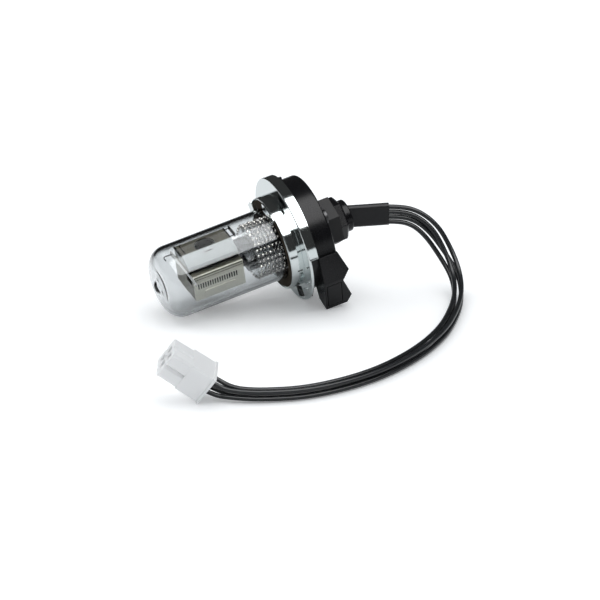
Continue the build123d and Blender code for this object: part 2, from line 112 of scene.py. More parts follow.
# Node helpers: sRGB hex to linear, and one function that adds a node with its settings and links
def colour(hexValue):
    def linear(channel):
        c = channel / 255
        return c / 12.92 if c <= 0.04045 else ((c + 0.055) / 1.055) ** 2.4

    value = hexValue.lstrip("#")
    return tuple(linear(int(value[i : i + 2], 16)) for i in (0, 2, 4)) + (1.0,)


def addNode(tree, kind, settings=None, inputs=None, stops=None):
    node = tree.nodes.new(kind)
    for name, value in (settings or {}).items():
        setattr(node, name, value)
    for name, value in (inputs or {}).items():
        socket = node.inputs[name]
        if isinstance(value, bpy.types.NodeSocket):
            tree.links.new(value, socket)
        else:
            socket.default_value = value
    for element, (place, tint) in zip(node.color_ramp.elements if stops else (), stops or ()):
        element.position, element.color = place, tint
    return node


def newMaterial(name, shaderInputs):
    material = bpy.data.materials.new(name)
    material.use_nodes = True
    tree = material.node_tree
    tree.nodes.clear()
    shader = addNode(tree, "ShaderNodeBsdfPrincipled", inputs=shaderInputs)
    output = addNode(tree, "ShaderNodeOutputMaterial", inputs={"Surface": shader.outputs[0]})
    return material, tree, shader, output


# A surface's grain: a fine bump, and with two shades the base colour drifts between them
def addGrain(
    tree, shader, scaleMm, strength, depthMm, stretch=(1, 1, 1), detail=3, edgeMm=0, shades=None
):
    place = addNode(tree, "ShaderNodeTexCoord")
    mapping = addNode(
        tree, "ShaderNodeMapping", inputs={"Vector": place.outputs["Object"], "Scale": stretch}
    )
    noise = addNode(
        tree,
        "ShaderNodeTexNoise",
        inputs={"Vector": mapping.outputs[0], "Scale": 1 / (scaleMm * mm), "Detail": detail},
    )
    bump = addNode(
        tree,
        "ShaderNodeBump",
        inputs={"Height": noise.outputs[0], "Strength": strength, "Distance": depthMm * mm},
    )
    if edgeMm:  # a worn edge catches the light
        edge = addNode(tree, "ShaderNodeBevel", {"samples": 4}, {"Radius": edgeMm * mm})
        tree.links.new(edge.outputs[0], bump.inputs["Normal"])
    tree.links.new(bump.outputs[0], shader.inputs["Normal"])
    if shades:
        dark, pale = (colour(shade) for shade in shades)
        drift = addNode(
            tree,
            "ShaderNodeValToRGB",
            inputs={"Fac": noise.outputs[0]},
            stops=[(0.3, dark), (0.7, pale)],
        )
        tree.links.new(drift.outputs[0], shader.inputs["Base Color"])


# Fused quartz: clear with a hard gloss. Its colour and its gloss are painted dark along the tube's upper
# edge, a painted dark reflection of the room that draws a dark line there, and the blown end is a little
# milky
quartz = dict(clear="#eff1f2", edge="#08090a", height=(6, 12), rim=(0.54, 0.66))


def quartzGlass(s):
    material, tree, shader, output = newMaterial(
        "quartz_glass",
        {
            "Roughness": 0.015,
            "IOR": 1.46,
            "Transmission Weight": 1.0,
        },
    )
    place = addNode(tree, "ShaderNodeTexCoord")
    fromSeat = addNode(
        tree, "ShaderNodeVectorMath", {"operation": "SUBTRACT"}, {0: place.outputs["Object"], 1: seat}
    )
    height = addNode(
        tree, "ShaderNodeVectorMath", {"operation": "DOT_PRODUCT"}, {0: fromSeat.outputs[0], 1: lift}
    )
    top = addNode(
        tree,
        "ShaderNodeMapRange",
        inputs={
            "Value": height.outputs["Value"],
            "From Min": s["height"][0] * mm,
            "From Max": s["height"][1] * mm,
        },
    )
    facing = addNode(tree, "ShaderNodeLayerWeight", inputs={"Blend": 0.5})
    rim = addNode(
        tree,
        "ShaderNodeMapRange",
        inputs={
            "Value": facing.outputs["Facing"],
            "From Min": s["rim"][0],
            "From Max": s["rim"][1],
        },
    )
    both = addNode(
        tree, "ShaderNodeMath", {"operation": "MULTIPLY"}, {0: top.outputs[0], 1: rim.outputs[0]}
    )
    tint = addNode(
        tree,
        "ShaderNodeValToRGB",
        inputs={"Fac": both.outputs[0]},
        stops=[(0.0, colour(s["clear"])), (0.8, colour(s["edge"]))],
    )
    # Painted dark reflection: high on the tube and seen edge-on, the colour and the gloss turn to the dark
    # edge colour
    tree.links.new(tint.outputs[0], shader.inputs["Base Color"])
    tree.links.new(tint.outputs[0], shader.inputs["Specular Tint"])
    return material


# Pressed glass: the same glass, rippled by the jaws and moulds, so it bends what is behind it
def pressedGlass(name, tint):
    material, tree, shader, output = newMaterial(
        name,
        {
            "Base Color": colour(tint),
            "Roughness": 0.05,
            "IOR": 1.47,
            "Transmission Weight": 1.0,
        },
    )
    addGrain(tree, shader, scaleMm=2.4, strength=0.2, depthMm=0.3, detail=1)
    return material


# Nickel plate: polished steel under a bright plate, very faint waviness from the press
def nickelPlate():
    material, tree, shader, output = newMaterial(
        "bright_nickel_plate",
        {"Base Color": colour("#d2d8d8"), "Metallic": 1.0, "Roughness": 0.09},
    )
    addGrain(tree, shader, scaleMm=3.0, strength=0.12, depthMm=0.2, edgeMm=0.3)
    return material


# Vacuum-fired nickel sheet: dark, satin, a little brown
def nickelSheet():
    material, tree, shader, output = newMaterial(
        "fired_nickel_sheet",
        {"Metallic": 1.0, "Roughness": 0.38},
    )
    addGrain(
        tree, shader, scaleMm=0.5, strength=0.3, depthMm=0.1, shades=("#5a584f", "#787569")
    )
    return material


# Oxide-coated sheet: the emissive coating dries pale, dry and faintly mottled
def paleSheet():
    material, tree, shader, output = newMaterial(
        "oxide_coated_sheet",
        {"Roughness": 0.5},
    )
    addGrain(
        tree, shader, scaleMm=0.4, strength=0.3, depthMm=0.1, shades=("#c9c8ba", "#dad9cd")
    )
    return material


# Alumina ceramic: fired and unglazed, a dull grey-white; it looks paler under the glass's reflection
def aluminaCeramic():
    material, tree, shader, output = newMaterial(
        "alumina_ceramic",
        {"Roughness": 0.5, "Specular IOR Level": 0.2},
    )
    addGrain(
        tree, shader, scaleMm=0.3, strength=0.2, depthMm=0.05, shades=("#8c9191", "#9aa0a0")
    )
    return material


# Drawn nickel wire: bright, with the die's fine lines
def drawnWire():
    material, tree, shader, output = newMaterial(
        "drawn_nickel_wire",
        {"Base Color": colour("#b9b9b6"), "Metallic": 1.0, "Roughness": 0.25},
    )
    addGrain(tree, shader, scaleMm=0.2, strength=0.1, depthMm=0.02)
    return material


# Basing cement: brown, dry and gritty
def basingCement():
    material, tree, shader, output = newMaterial(
        "basing_cement", {"Base Color": colour("#6a5844"), "Roughness": 0.9}
    )
    addGrain(tree, shader, scaleMm=0.3, strength=0.8, depthMm=0.2)
    return material


# Moulded thermoset: black, satin, with the mould's fine eroded grain
def blackPlastic():
    material, tree, shader, output = newMaterial(
        "black_moulded_plastic",
        {"Roughness": 0.25, "IOR": 1.5, "Specular IOR Level": 0.22},
    )
    addGrain(
        tree, shader, scaleMm=0.35, strength=0.25, depthMm=0.05, edgeMm=0.4, shades=("#0d0d0f", "#151517")
    )
    return material


# Moulded rubber: black and dull, with a soft sheen on its edges
def glandRubber():
    material, tree, shader, output = newMaterial(
        "gland_rubber",
        {"Base Color": colour("#1a1a1b"), "Roughness": 0.5, "IOR": 1.5, "Specular IOR Level": 0.3},
    )
    addGrain(tree, shader, scaleMm=0.25, strength=0.35, depthMm=0.05)
    return material


# Shrink tube: polyolefin, drawn tight, black with a faint waviness across the bundle
def shrinkTube():
    material, tree, shader, output = newMaterial(
        "shrink_tube",
        {"Base Color": colour("#1a1a1c"), "Roughness": 0.42, "IOR": 1.5, "Specular IOR Level": 0.3},
    )
    addGrain(tree, shader, scaleMm=0.5, strength=0.3, depthMm=0.08, stretch=(0.3, 1, 1))
    return material


# Wire insulation: dark grey-black, silky, so a long soft highlight runs down each wire
def wireInsulation():
    material, tree, shader, output = newMaterial(
        "wire_insulation",
        {"Roughness": 0.3, "IOR": 1.5, "Specular IOR Level": 0.4},
    )
    addGrain(
        tree, shader, scaleMm=0.6, strength=0.15, depthMm=0.03, shades=("#181a1c", "#222426")
    )
    return material


# Natural nylon: milky, light passes a little way in
def naturalNylon():
    material, tree, shader, output = newMaterial(
        "natural_nylon",
        {
            "Base Color": colour("#efefef"),
            "Roughness": 0.3,
            "IOR": 1.53,
            "Subsurface Weight": 0.5,
            "Subsurface Radius": (1.0, 1.0, 1.0),
            "Subsurface Scale": 0.002,
        },
    )
    addGrain(tree, shader, scaleMm=0.6, strength=0.15, depthMm=0.04, edgeMm=0.35)
    return material


# Tinned brass: stamped contacts, pale with a warm cast
def tinnedBrass():
    material, tree, shader, output = newMaterial(
        "tinned_brass", {"Base Color": colour("#c9c3ae"), "Metallic": 1.0, "Roughness": 0.3}
    )
    addGrain(tree, shader, scaleMm=0.2, strength=0.1, depthMm=0.02)
    return material


# Blackened steel: oiled dark finish, metal glints on the edges
def blackenedSteel():
    material, tree, shader, output = newMaterial(
        "blackened_steel", {"Base Color": colour("#4a4a4b"), "Metallic": 1.0, "Roughness": 0.4}
    )
    addGrain(tree, shader, scaleMm=0.2, strength=0.2, depthMm=0.02)
    return material


# An opening in thin sheet: no material, only the unlit inside, so it is flat, dark and without gloss
def openingShade():
    material, tree, shader, output = newMaterial(
        "shaded_opening",
        {"Base Color": colour("#1d1c1a"), "Roughness": 0.7, "Specular IOR Level": 0.0},
    )
    return material


# Cement at the bottom of the collar's recess: dark brown, darkened further as painted shade for the recess's
# depth
def recessCement():
    material, tree, shader, output = newMaterial(
        "cement_in_painted_shade",
        {"Base Color": colour("#39322a"), "Roughness": 0.85, "Specular IOR Level": 0.1},
    )
    addGrain(tree, shader, scaleMm=0.6, strength=0.6, depthMm=0.2)
    return material


# Seal metal: fired bright, so each small facet is either white or black
def sealMetal():
    material, tree, shader, output = newMaterial(
        "bright_seal_metal", {"Base Color": colour("#c9c6c1"), "Metallic": 1.0, "Roughness": 0.1}
    )
    return material


finishes = {
    "seal_metal": sealMetal(),
    "shadow": openingShade(),
    "recess": recessCement(),
    "glass": quartzGlass(quartz),
    "pressed": pressedGlass("pressed_stem_glass", "#606365"),
    "sleeve_glass": pressedGlass("ribbed_sleeve_glass", "#f2f4f4"),
    "nickel_plate": nickelPlate(),
    "nickel_sheet": nickelSheet(),
    "pale_sheet": paleSheet(),
    "ceramic": aluminaCeramic(),
    "rod_metal": drawnWire(),
    "cement": basingCement(),
    "black_plastic": blackPlastic(),
    "black_rubber": glandRubber(),
    "sleeve_black": shrinkTube(),
    "wire_black": wireInsulation(),
    "nylon": naturalNylon(),
    "contact_metal": tinnedBrass(),
    "screw_steel": blackenedSteel(),
}

slotOf = {part["node"]: part["material_slot"] for part in frame["record"]["subparts"]}
ownFinish = {"glass_stem": "pressed", "getter_loop": "screw_steel"}
for name, node in nodes.items():
    node.data.materials.clear()
    node.data.materials.append(finishes[ownFinish.get(name, slotOf[name])])
print("materials assigned")


# Every new piece rides on the one body, and the CAD node it stands for, if any, is hidden
def finishPiece(obj, replaced=None):
    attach(obj, "root")
    if replaced:
        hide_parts(replaced)


# Lathe: a profile of (along, radius) pairs in millimetres, turned about the lamp's axis
def turnedSolid(name, profile, segments, finish, smooth=True):
    work = bmesh.new()
    rings = []
    for z, r in profile:
        if r == 0:
            rings.append([work.verts.new(lampPoint(0, 0, z))])
            continue
        turns = [2 * math.pi * i / segments for i in range(segments)]
        rings.append([work.verts.new(lampPoint(r * math.cos(a), r * math.sin(a), z)) for a in turns])
    for first, second in zip(rings, rings[1:] + rings[:1]):
        for i in range(segments):
            j = (i + 1) % segments
            if len(first) == 1 and len(second) == 1:
                break
            if len(first) == 1:
                work.faces.new((first[0], second[j], second[i]))
            elif len(second) == 1:
                work.faces.new((first[i], first[j], second[0]))
            else:
                work.faces.new((first[i], first[j], second[j], second[i]))
    bmesh.ops.recalc_face_normals(work, faces=work.faces)
    for face in work.faces:
        face.smooth = smooth
    mesh = bpy.data.meshes.new(name)
    work.to_mesh(mesh)
    work.free()
    mesh.materials.append(finish)
    piece = bpy.data.objects.new(name, mesh)
    bpy.context.collection.objects.link(piece)
    return piece


# Envelope: one turned wall of glass, blown round at the tip, with the flared pip where it was sealed off
envelope = dict(
    radius=14.0,
    wall=1.2,
    length=52.0,
    corner=7.0,
    seatDepth=6.0,
    pip=((0.0, 5.0), (0.05, 3.9), (0.25, 3.1), (0.6, 2.4), (1.0, 1.9), (1.35, 1.4), (1.55, 0.8), (1.6, 0.0)),
    pipInside=((0.9, 0.0), (0.7, 0.7), (0.2, 1.6), (0.0, 2.6), (0.0, 5.0)),
    segments=128,
    arcSteps=14,
    barrelSteps=6,
)


def makeEnvelope(s):
    outer, inner = s["radius"], s["radius"] - s["wall"]
    bend, bendRadius = s["length"] - s["corner"], s["radius"] - s["corner"]
    profile = [(-s["seatDepth"], inner), (-s["seatDepth"], outer)]
    profile += [(bend * i / s["barrelSteps"], outer) for i in range(s["barrelSteps"])]

    def arc(radius):
        angles = [math.pi / 2 * i / s["arcSteps"] for i in range(s["arcSteps"] + 1)]
        return [(bend + radius * math.sin(a), bendRadius + radius * math.cos(a)) for a in angles]

    profile += arc(s["corner"])
    profile += [(s["length"] + z, r) for z, r in s["pip"]]
    profile += [(s["length"] - s["wall"] + z, r) for z, r in s["pipInside"]]
    profile += reversed(arc(s["corner"] - s["wall"]))
    profile += [(bend * i / s["barrelSteps"], inner) for i in reversed(range(s["barrelSteps"]))]
    piece = turnedSolid("envelope", profile, s["segments"], finishes["glass"])
    finishPiece(piece, "glass_envelope")


makeEnvelope(envelope)
print("envelope turned")


# A Geometry Nodes tree with named inputs: a small shape repeated on a grid, then realised
def repeatTree(name, sockets, build):
    tree = bpy.data.node_groups.new(name, "GeometryNodeTree")
    tree.interface.new_socket("Geometry", in_out="OUTPUT", socket_type="NodeSocketGeometry")
    ids = {}
    for label, (kind, value) in sockets.items():
        socket = tree.interface.new_socket(label, in_out="INPUT", socket_type=kind)
        if kind != "NodeSocketMaterial":
            socket.default_value = value
        ids[label] = socket.identifier
    entry = tree.nodes.new("NodeGroupInput")
    leave = tree.nodes.new("NodeGroupOutput")
    shape = build(tree, entry)
    solid = addNode(tree, "GeometryNodeRealizeInstances", inputs={"Geometry": shape})
    painted = addNode(
        tree,
        "GeometryNodeSetMaterial",
        inputs={"Geometry": solid.outputs[0], "Material": entry.outputs["Material"]},
    )
    tree.links.new(painted.outputs[0], leave.inputs["Geometry"])
    return tree, ids


def bakeTree(name, tree, ids, values, matrix):
    carrier = bpy.data.objects.new(name + "_source", bpy.data.meshes.new(name + "_source"))
    bpy.context.collection.objects.link(carrier)
    modifier = carrier.modifiers.new(name, "NODES")
    modifier.node_group = tree
    for label, value in values.items():
        modifier[ids[label]] = value
    graph = bpy.context.evaluated_depsgraph_get()
    mesh = bpy.data.meshes.new_from_object(carrier.evaluated_get(graph))
    mesh.name = name
    carrier.modifiers.remove(modifier)
    bpy.data.objects.remove(carrier)
    mesh.transform(matrix)
    for face in mesh.polygons:
        face.use_smooth = False
    piece = bpy.data.objects.new(name, mesh)
    bpy.context.collection.objects.link(piece)
    return piece


# Seal sleeve: a thin ribbed glass capsule over the stem and the pinch, with its closed end to the cage
sealSleeve = dict(
    radius=9.9,
    end=15.2,
    wall=0.4,
    ribPitch=1.6,
    ribRise=0.2,
    start=-1.0,
    corner=2.2,
    segments=96,
    ribSteps=6,
    cornerSteps=9,
)


def makeSealSleeve(s):
    outside = []
    bend = s["end"] - s["corner"]
    steps = int((bend - s["start"]) / s["ribPitch"] * s["ribSteps"])
    for i in range(steps + 1):
        z = s["start"] + (bend - s["start"]) * i / steps
        wave = math.cos(2 * math.pi * (z - s["start"]) / s["ribPitch"])
        outside.append((z, s["radius"] + s["ribRise"] * wave * abs(wave)))
    inside = [(s["start"], s["radius"] - s["wall"]), (bend, s["radius"] - s["wall"])]
    middle = s["radius"] - s["corner"]
    inner = s["corner"] - s["wall"]
    for i in range(1, s["cornerSteps"] + 1):
        a = math.pi / 2 * i / s["cornerSteps"]
        outside.append((bend + s["corner"] * math.sin(a), middle + s["corner"] * math.cos(a)))
        inside.append((bend + inner * math.sin(a), middle + inner * math.cos(a)))
    profile = outside + [(s["end"], 0), (s["end"] - s["wall"], 0)] + list(reversed(inside))
    piece = turnedSolid("seal_sleeve", profile, s["segments"], finishes["sleeve_glass"])
    finishPiece(piece)


makeSealSleeve(sealSleeve)


# Seal beads: rings of small bright beads round the sleeve, which sparkle light and dark
sealBeads = dict(
    rows=10, around=30, radius=10.3, pitch=1.6, bead=0.62, sizes=(0.7, 1.15), start=-0.2, seed=4
)


def beadRings(tree, entry):
    line = addNode(tree, "GeometryNodeMeshLine", {"mode": "OFFSET"}, {"Count": entry.outputs["Rows"]})
    step = addNode(tree, "ShaderNodeCombineXYZ", inputs={"Z": entry.outputs["Pitch"]})
    tree.links.new(step.outputs[0], line.inputs["Offset"])
    ring = addNode(
        tree,
        "GeometryNodeMeshCircle",
        inputs={"Vertices": entry.outputs["Around"], "Radius": entry.outputs["Radius"]},
    )
    bead = addNode(
        tree, "GeometryNodeMeshIcoSphere", inputs={"Radius": entry.outputs["Bead"], "Subdivisions": 2}
    )
    rings = addNode(
        tree,
        "GeometryNodeInstanceOnPoints",
        inputs={"Points": line.outputs["Mesh"], "Instance": ring.outputs["Mesh"]},
    )
    points = addNode(tree, "GeometryNodeRealizeInstances", inputs={"Geometry": rings.outputs[0]})
    turn = addNode(
        tree,
        "FunctionNodeRandomValue",
        {"data_type": "FLOAT_VECTOR"},
        {"Seed": entry.outputs["Seed"]},
    )
    turn.inputs["Min"].default_value = (0, 0, 0)
    turn.inputs["Max"].default_value = (6.28, 6.28, 6.28)  # a full turn about each axis
    size = addNode(
        tree, "FunctionNodeRandomValue", {"data_type": "FLOAT"}, {"Seed": entry.outputs["Seed"]}
    )
    limits = [socket for socket in size.inputs if socket.name in ("Min", "Max") and socket.enabled]
    for socket, label in zip(limits, ("Smallest", "Largest")):
        tree.links.new(entry.outputs[label], socket)
    beads = addNode(
        tree,
        "GeometryNodeInstanceOnPoints",
        inputs={
            "Points": points.outputs[0],
            "Instance": bead.outputs["Mesh"],
            "Rotation": turn.outputs[0],
            "Scale": [socket for socket in size.outputs if socket.enabled][0],
        },
    )
    return beads.outputs[0]


def makeSealBeads(s):
    tree, ids = repeatTree(
        "seal_bead_rings",
        {
            "Rows": ("NodeSocketInt", 8),
            "Around": ("NodeSocketInt", 24),
            "Radius": ("NodeSocketFloat", 0.007),
            "Pitch": ("NodeSocketFloat", 0.0015),
            "Bead": ("NodeSocketFloat", 0.0005),
            "Smallest": ("NodeSocketFloat", 0.8),
            "Largest": ("NodeSocketFloat", 1.0),
            "Seed": ("NodeSocketInt", 1),
            "Material": ("NodeSocketMaterial", None),
        },
        beadRings,
    )
    values = {
        "Rows": s["rows"],
        "Around": s["around"],
        "Radius": s["radius"] * mm,
        "Pitch": s["pitch"] * mm,
        "Bead": s["bead"] * mm,
        "Smallest": s["sizes"][0],
        "Largest": s["sizes"][1],
        "Seed": s["seed"],
        "Material": finishes["seal_metal"],
    }
    piece = bakeTree("seal_beads", tree, ids, values, lampMatrix(s["start"]))
    finishPiece(piece)


makeSealBeads(sealBeads)
print("seal beads set")


# Front panel of the cage: a row of vent slots below its middle, each a thin bar on the panel's face in
# painted shade, the dark of the slot's unlit inside
ventSlots = dict(
    count=17, pitch=0.98, width=0.52, height=2.3, depth=0.05, x=8.5, y=0.2, start=23.6
)


def slotRow(tree, entry):
    line = addNode(tree, "GeometryNodeMeshLine", {"mode": "OFFSET"}, {"Count": entry.outputs["Count"]})
    step = addNode(tree, "ShaderNodeCombineXYZ", inputs={"Z": entry.outputs["Pitch"]})
    tree.links.new(step.outputs[0], line.inputs["Offset"])
    size = addNode(
        tree,
        "ShaderNodeCombineXYZ",
        inputs={"X": entry.outputs["Depth"], "Y": entry.outputs["Height"], "Z": entry.outputs["Width"]},
    )
    slot = addNode(tree, "GeometryNodeMeshCube", inputs={"Size": size.outputs[0]})
    row = addNode(
        tree,
        "GeometryNodeInstanceOnPoints",
        inputs={"Points": line.outputs["Mesh"], "Instance": slot.outputs["Mesh"]},
    )
    return row.outputs[0]


def makeVentSlots(s):
    tree, ids = repeatTree(
        "vent_slot_row",
        {
            "Count": ("NodeSocketInt", 10),
            "Pitch": ("NodeSocketFloat", 0.001),
            "Width": ("NodeSocketFloat", 0.0004),
            "Height": ("NodeSocketFloat", 0.0015),
            "Depth": ("NodeSocketFloat", 0.0001),
            "Material": ("NodeSocketMaterial", None),
        },
        slotRow,
    )
    values = {
        "Count": s["count"],
        "Pitch": s["pitch"] * mm,
        "Width": s["width"] * mm,
        "Height": s["height"] * mm,
        "Depth": s["depth"] * mm,
        "Material": finishes["shadow"],
    }
    piece = bakeTree("vent_slots", tree, ids, values, cageMatrix(s["x"], s["y"], s["start"]))
    finishPiece(piece)


makeVentSlots(ventSlots)


# Small bars in the cage's own axes, in millimetres: low corner, high corner
def makeBars(name, finish, bars, bevel=0.05):
    work = bmesh.new()
    for low, high in bars:
        middle = [(a + b) / 2 * mm for a, b in zip(low, high)]
        size = [(b - a) * mm for a, b in zip(low, high)]
        place = Matrix.Translation(middle) @ Matrix.Diagonal((*size, 1))
        bmesh.ops.create_cube(work, size=1, matrix=place)
    bmesh.ops.bevel(work, geom=work.edges, offset=bevel * mm, segments=2, affect="EDGES", profile=0.5)
    bmesh.ops.transform(work, matrix=cageMatrix(0, 0, 0), verts=work.verts)
    bmesh.ops.recalc_face_normals(work, faces=work.faces)
    mesh = bpy.data.meshes.new(name)
    work.to_mesh(mesh)
    work.free()
    mesh.materials.append(finishes[finish])
    piece = bpy.data.objects.new(name, mesh)
    bpy.context.collection.objects.link(piece)
    finishPiece(piece)


# Cage trim: short bars in painted shade at both ends of the window plate, a strip of painted shade under the
# foot of the block, the dark inside of the end opening, the panel's hem with its fold darkened as painted
# shade, and the weld sleeves on the rods
cageTrim = dict(
    # Short dark bars at the ends of the window plate, in the shadow finish: painted shade
    plate_clips=(
        "shadow",
        [
            ((-7.1, 9.0, 40.9), (-0.3, 9.9, 41.4)),
            ((-6.6, 9.5, 39.1), (-0.3, 9.62, 39.5)),
            ((-7.1, 9.5, 20.5), (-0.3, 9.75, 21.0)),
            ((-7.0, 8.6, 18.3), (-1.0, 9.9, 18.9)),
            ((-6.6, 9.0, 18.7), (-6.2, 9.2, 20.7)),
            ((-1.8, 9.0, 18.7), (-1.4, 9.2, 20.7)),
        ],
    ),
    # A dark strip where the block meets the panel: painted shade under the block
    block_foot=("shadow", [((5.0, 4.9, 20.6), (5.45, 5.5, 40.9))]),
    end_opening_shade=("shadow", [((1.6, -0.2, 40.35), (6.8, 3.6, 40.48))]),
    # Two strips in the darker nickel sheet along the hem: the fold is real, its darkness is painted shade
    panel_hem=(
        "nickel_sheet",
        [((8.5, 4.35, 20.7), (8.62, 4.85, 40.8)), ((8.5, 3.3, 20.7), (8.56, 3.55, 40.8))],
    ),
    weld_sleeves=(
        "screw_steel",
        [
            ((-6.9, 0.4, 17.8), (-5.7, 1.6, 19.6)),
            ((-2.7, 0.4, 17.8), (-1.5, 1.6, 20.1)),
            ((1.4, 0.3, 17.8), (2.8, 1.7, 19.4)),
            ((5.6, 0.4, 17.8), (7.0, 1.6, 20.2)),
            ((1.2, -0.6, 18.0), (6.6, 0.4, 18.6)),
            ((3.2, 0.8, 18.2), (6.8, 1.3, 18.7)),
        ],
    ),
)
for name, (finish, bars) in cageTrim.items():
    makeBars(name, finish, bars)


# Collar face: a flat ring of cement round the glass, darkened as painted shade where the real face is
# recessed, and the bright rolled lip outside it
collarFace = dict(
    shadeInner=14.05,
    shadeOuter=17.3,
    shade=0.05,
    lip=17.85,
    lipWire=0.33,
    segments=128,
    lipSteps=12,
)


def makeCollarFace(s):
    top = collar["height"]
    shade = [
        (top, s["shadeInner"]),
        (top, s["shadeOuter"]),
        (top + s["shade"], s["shadeOuter"]),
        (top + s["shade"], s["shadeInner"]),
    ]
    piece = turnedSolid("collar_recess", shade, s["segments"], finishes["recess"], smooth=False)
    finishPiece(piece)
    lip = []
    for i in range(s["lipSteps"]):
        a = 2 * math.pi * i / s["lipSteps"]
        lip.append((top + s["lipWire"] * math.sin(a), s["lip"] + s["lipWire"] * math.cos(a)))
    finishPiece(turnedSolid("collar_lip", lip, s["segments"], finishes["nickel_plate"]))


makeCollarFace(collarFace)


# The unlit inside of the arc window, as a thin dark disc in the plate's round hole
arcShade = dict(x=-2.0, y=9.02, z=30.75, radius=3.9, thickness=0.06, segments=64)


def makeArcShade(s):
    work = bmesh.new()
    turn = Matrix.Rotation(math.radians(90), 4, "X")
    bmesh.ops.create_cone(
        work,
        cap_ends=True,
        segments=s["segments"],
        radius1=s["radius"] * mm,
        radius2=s["radius"] * mm,
        depth=s["thickness"] * mm,
        matrix=cageMatrix(s["x"], s["y"], s["z"]) @ turn,
    )
    mesh = bpy.data.meshes.new("arc_shade")
    work.to_mesh(mesh)
    work.free()
    mesh.materials.append(finishes["shadow"])
    piece = bpy.data.objects.new("arc_shade", mesh)
    bpy.context.collection.objects.link(piece)
    finishPiece(piece)


makeArcShade(arcShade)
print("cage details made")


# Wires: the CAD source's route, in millimetres from the flange's centre on the floor. On the table they
# lie a little closer together than there
wires = dict(
    diameter=1.8,
    pitch=2.0,
    spread=0.65,
    length=(0.214, 0.2065, 0.215, 0.2075),  # in metres
    sideSteps=6,
    routeSteps=16,
)
sleeve = dict(yaw=-12.5, length=15.6, grip=5.0, start=26.7, drop=0.8)
plug = dict(
    width=13.6,
    depth=12.7,
    length=18.8,
    rest=(-70.2, -84.3),
    noseUp=35.0,
    yaw=-19.5,
    roll=10.6,
    pitch=4.4,
    leadIn=3.5,
)
bundleRoute = [
    ((43.5, -3.9, 28.7), 0),
    ((50.4, -7.0, 27.5), 5),
    ((56.1, -10.2, 22.4), 20),
    ((60.3, -13.3, 14.3), 45),
    ((62.3, -19.1, 7.1), 65),
    ((58.9, -29.7, 3.2), 80),
    ((50.6, -44.4, 2.6), 90),
    ((38.3, -61.4, 2.6), 90),
    ((20.3, -77.5, 2.6), 90),
    ((-3.0, -90.6, 2.6), 90),
    ((-29.0, -95.5, 2.6), 90),
    ((-46.8, -91.4, 2.7), 90),
    ((-56.4, -86.8, 3.2), 90),
]
cavityOrder = [(1, 1), (-1, 1), (1, -1), (-1, -1)]

sleeveOrigin = lampPoint(0, -sleeve["drop"], -sleeve["start"])
sleeveAlong = Vector(
    (math.cos(math.radians(sleeve["yaw"])), math.sin(math.radians(sleeve["yaw"])), 0)
)
noseUp, plugYaw, plugRoll = (math.radians(plug[key]) for key in ("noseUp", "yaw", "roll"))
wireExit = Vector(
    (
        math.cos(noseUp) * math.cos(plugYaw),
        math.cos(noseUp) * math.sin(plugYaw),
        -math.sin(noseUp),
    )
)
plugLevel = Vector((math.sin(plugYaw), -math.cos(plugYaw), 0))
plugRise = plugLevel.cross(wireExit)
plugSide = plugLevel * math.cos(plugRoll) - plugRise * math.sin(plugRoll)
plugUp = plugSide.cross(wireExit)
plugOrigin = (
    Vector((seat.x + plug["rest"][0] * mm, plug["rest"][1] * mm, 0))
    - plugSide * plug["width"] / 2 * mm
    + plugUp * plug["depth"] / 2 * mm
)


def plugPoint(x, y, z):
    return plugOrigin + (plugSide * x + plugUp * y - wireExit * z) * mm


def wirePlace(index, turn):
    pitch = wires["pitch"] + wires["spread"] * math.sin(math.radians(turn))
    side = pitch / 2 * math.sin(math.radians(turn))
    rise = pitch / 2 * math.cos(math.radians(turn))
    centre = max(pitch / 2, 2 * rise)
    places = [
        (-side, centre + rise),
        (side, centre - rise),
        (-side, rise - centre),
        (side, -rise - centre),
    ]
    return places[index]


def wireRoute(index):
    centres = [Vector((seat.x + x * mm, y * mm, z * mm)) for (x, y, z), turn in bundleRoute]
    start = sleeveOrigin + sleeveAlong * (sleeve["length"] - sleeve["grip"]) * mm
    route = [start + Vector((0, 0, wirePlace(index, 0)[1] * mm))]
    before = [start] + centres
    after = centres[1:] + [plugPoint(0, 0, -plug["leadIn"])]
    for last, centre, following, (point, turn) in zip(before, centres, after, bundleRoute):
        heading = (following - last).normalized()
        sideways = heading.cross(Vector((0, 0, 1))).normalized()
        side, rise = wirePlace(index, turn)
        route.append(centre + (sideways * side + sideways.cross(heading) * rise) * mm)
    x, y = (plug["pitch"] / 2 * sign for sign in cavityOrder[index])
    route.append(plugPoint(x, y, -plug["leadIn"]))
    route.append(plugPoint(x, y, plug["leadIn"]))
    return route


def makeWire(index):
    route = wireRoute(index)
    name = f"lead_{index + 1}"
    data = bpy.data.curves.new(name, "CURVE")
    data.dimensions = "3D"
    data.bevel_depth = wires["diameter"] / 2 * mm
    data.bevel_resolution = wires["sideSteps"]
    data.resolution_u = wires["routeSteps"]
    data.use_fill_caps = True
    spline = data.splines.new("NURBS")
    spline.points.add(len(route) - 1)
    for point, place in zip(spline.points, route):
        point.co = (*place, 1)
    spline.order_u = 3
    spline.use_endpoint_u = True
    data.materials.append(finishes["wire_black"])
    wire = bpy.data.objects.new(name, data)
    bpy.context.collection.objects.link(wire)
    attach(wire, "root")
    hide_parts(f"lead_wire_{index + 1}")


for index in range(len(wires["length"])):
    makeWire(index)
print("wires laid")


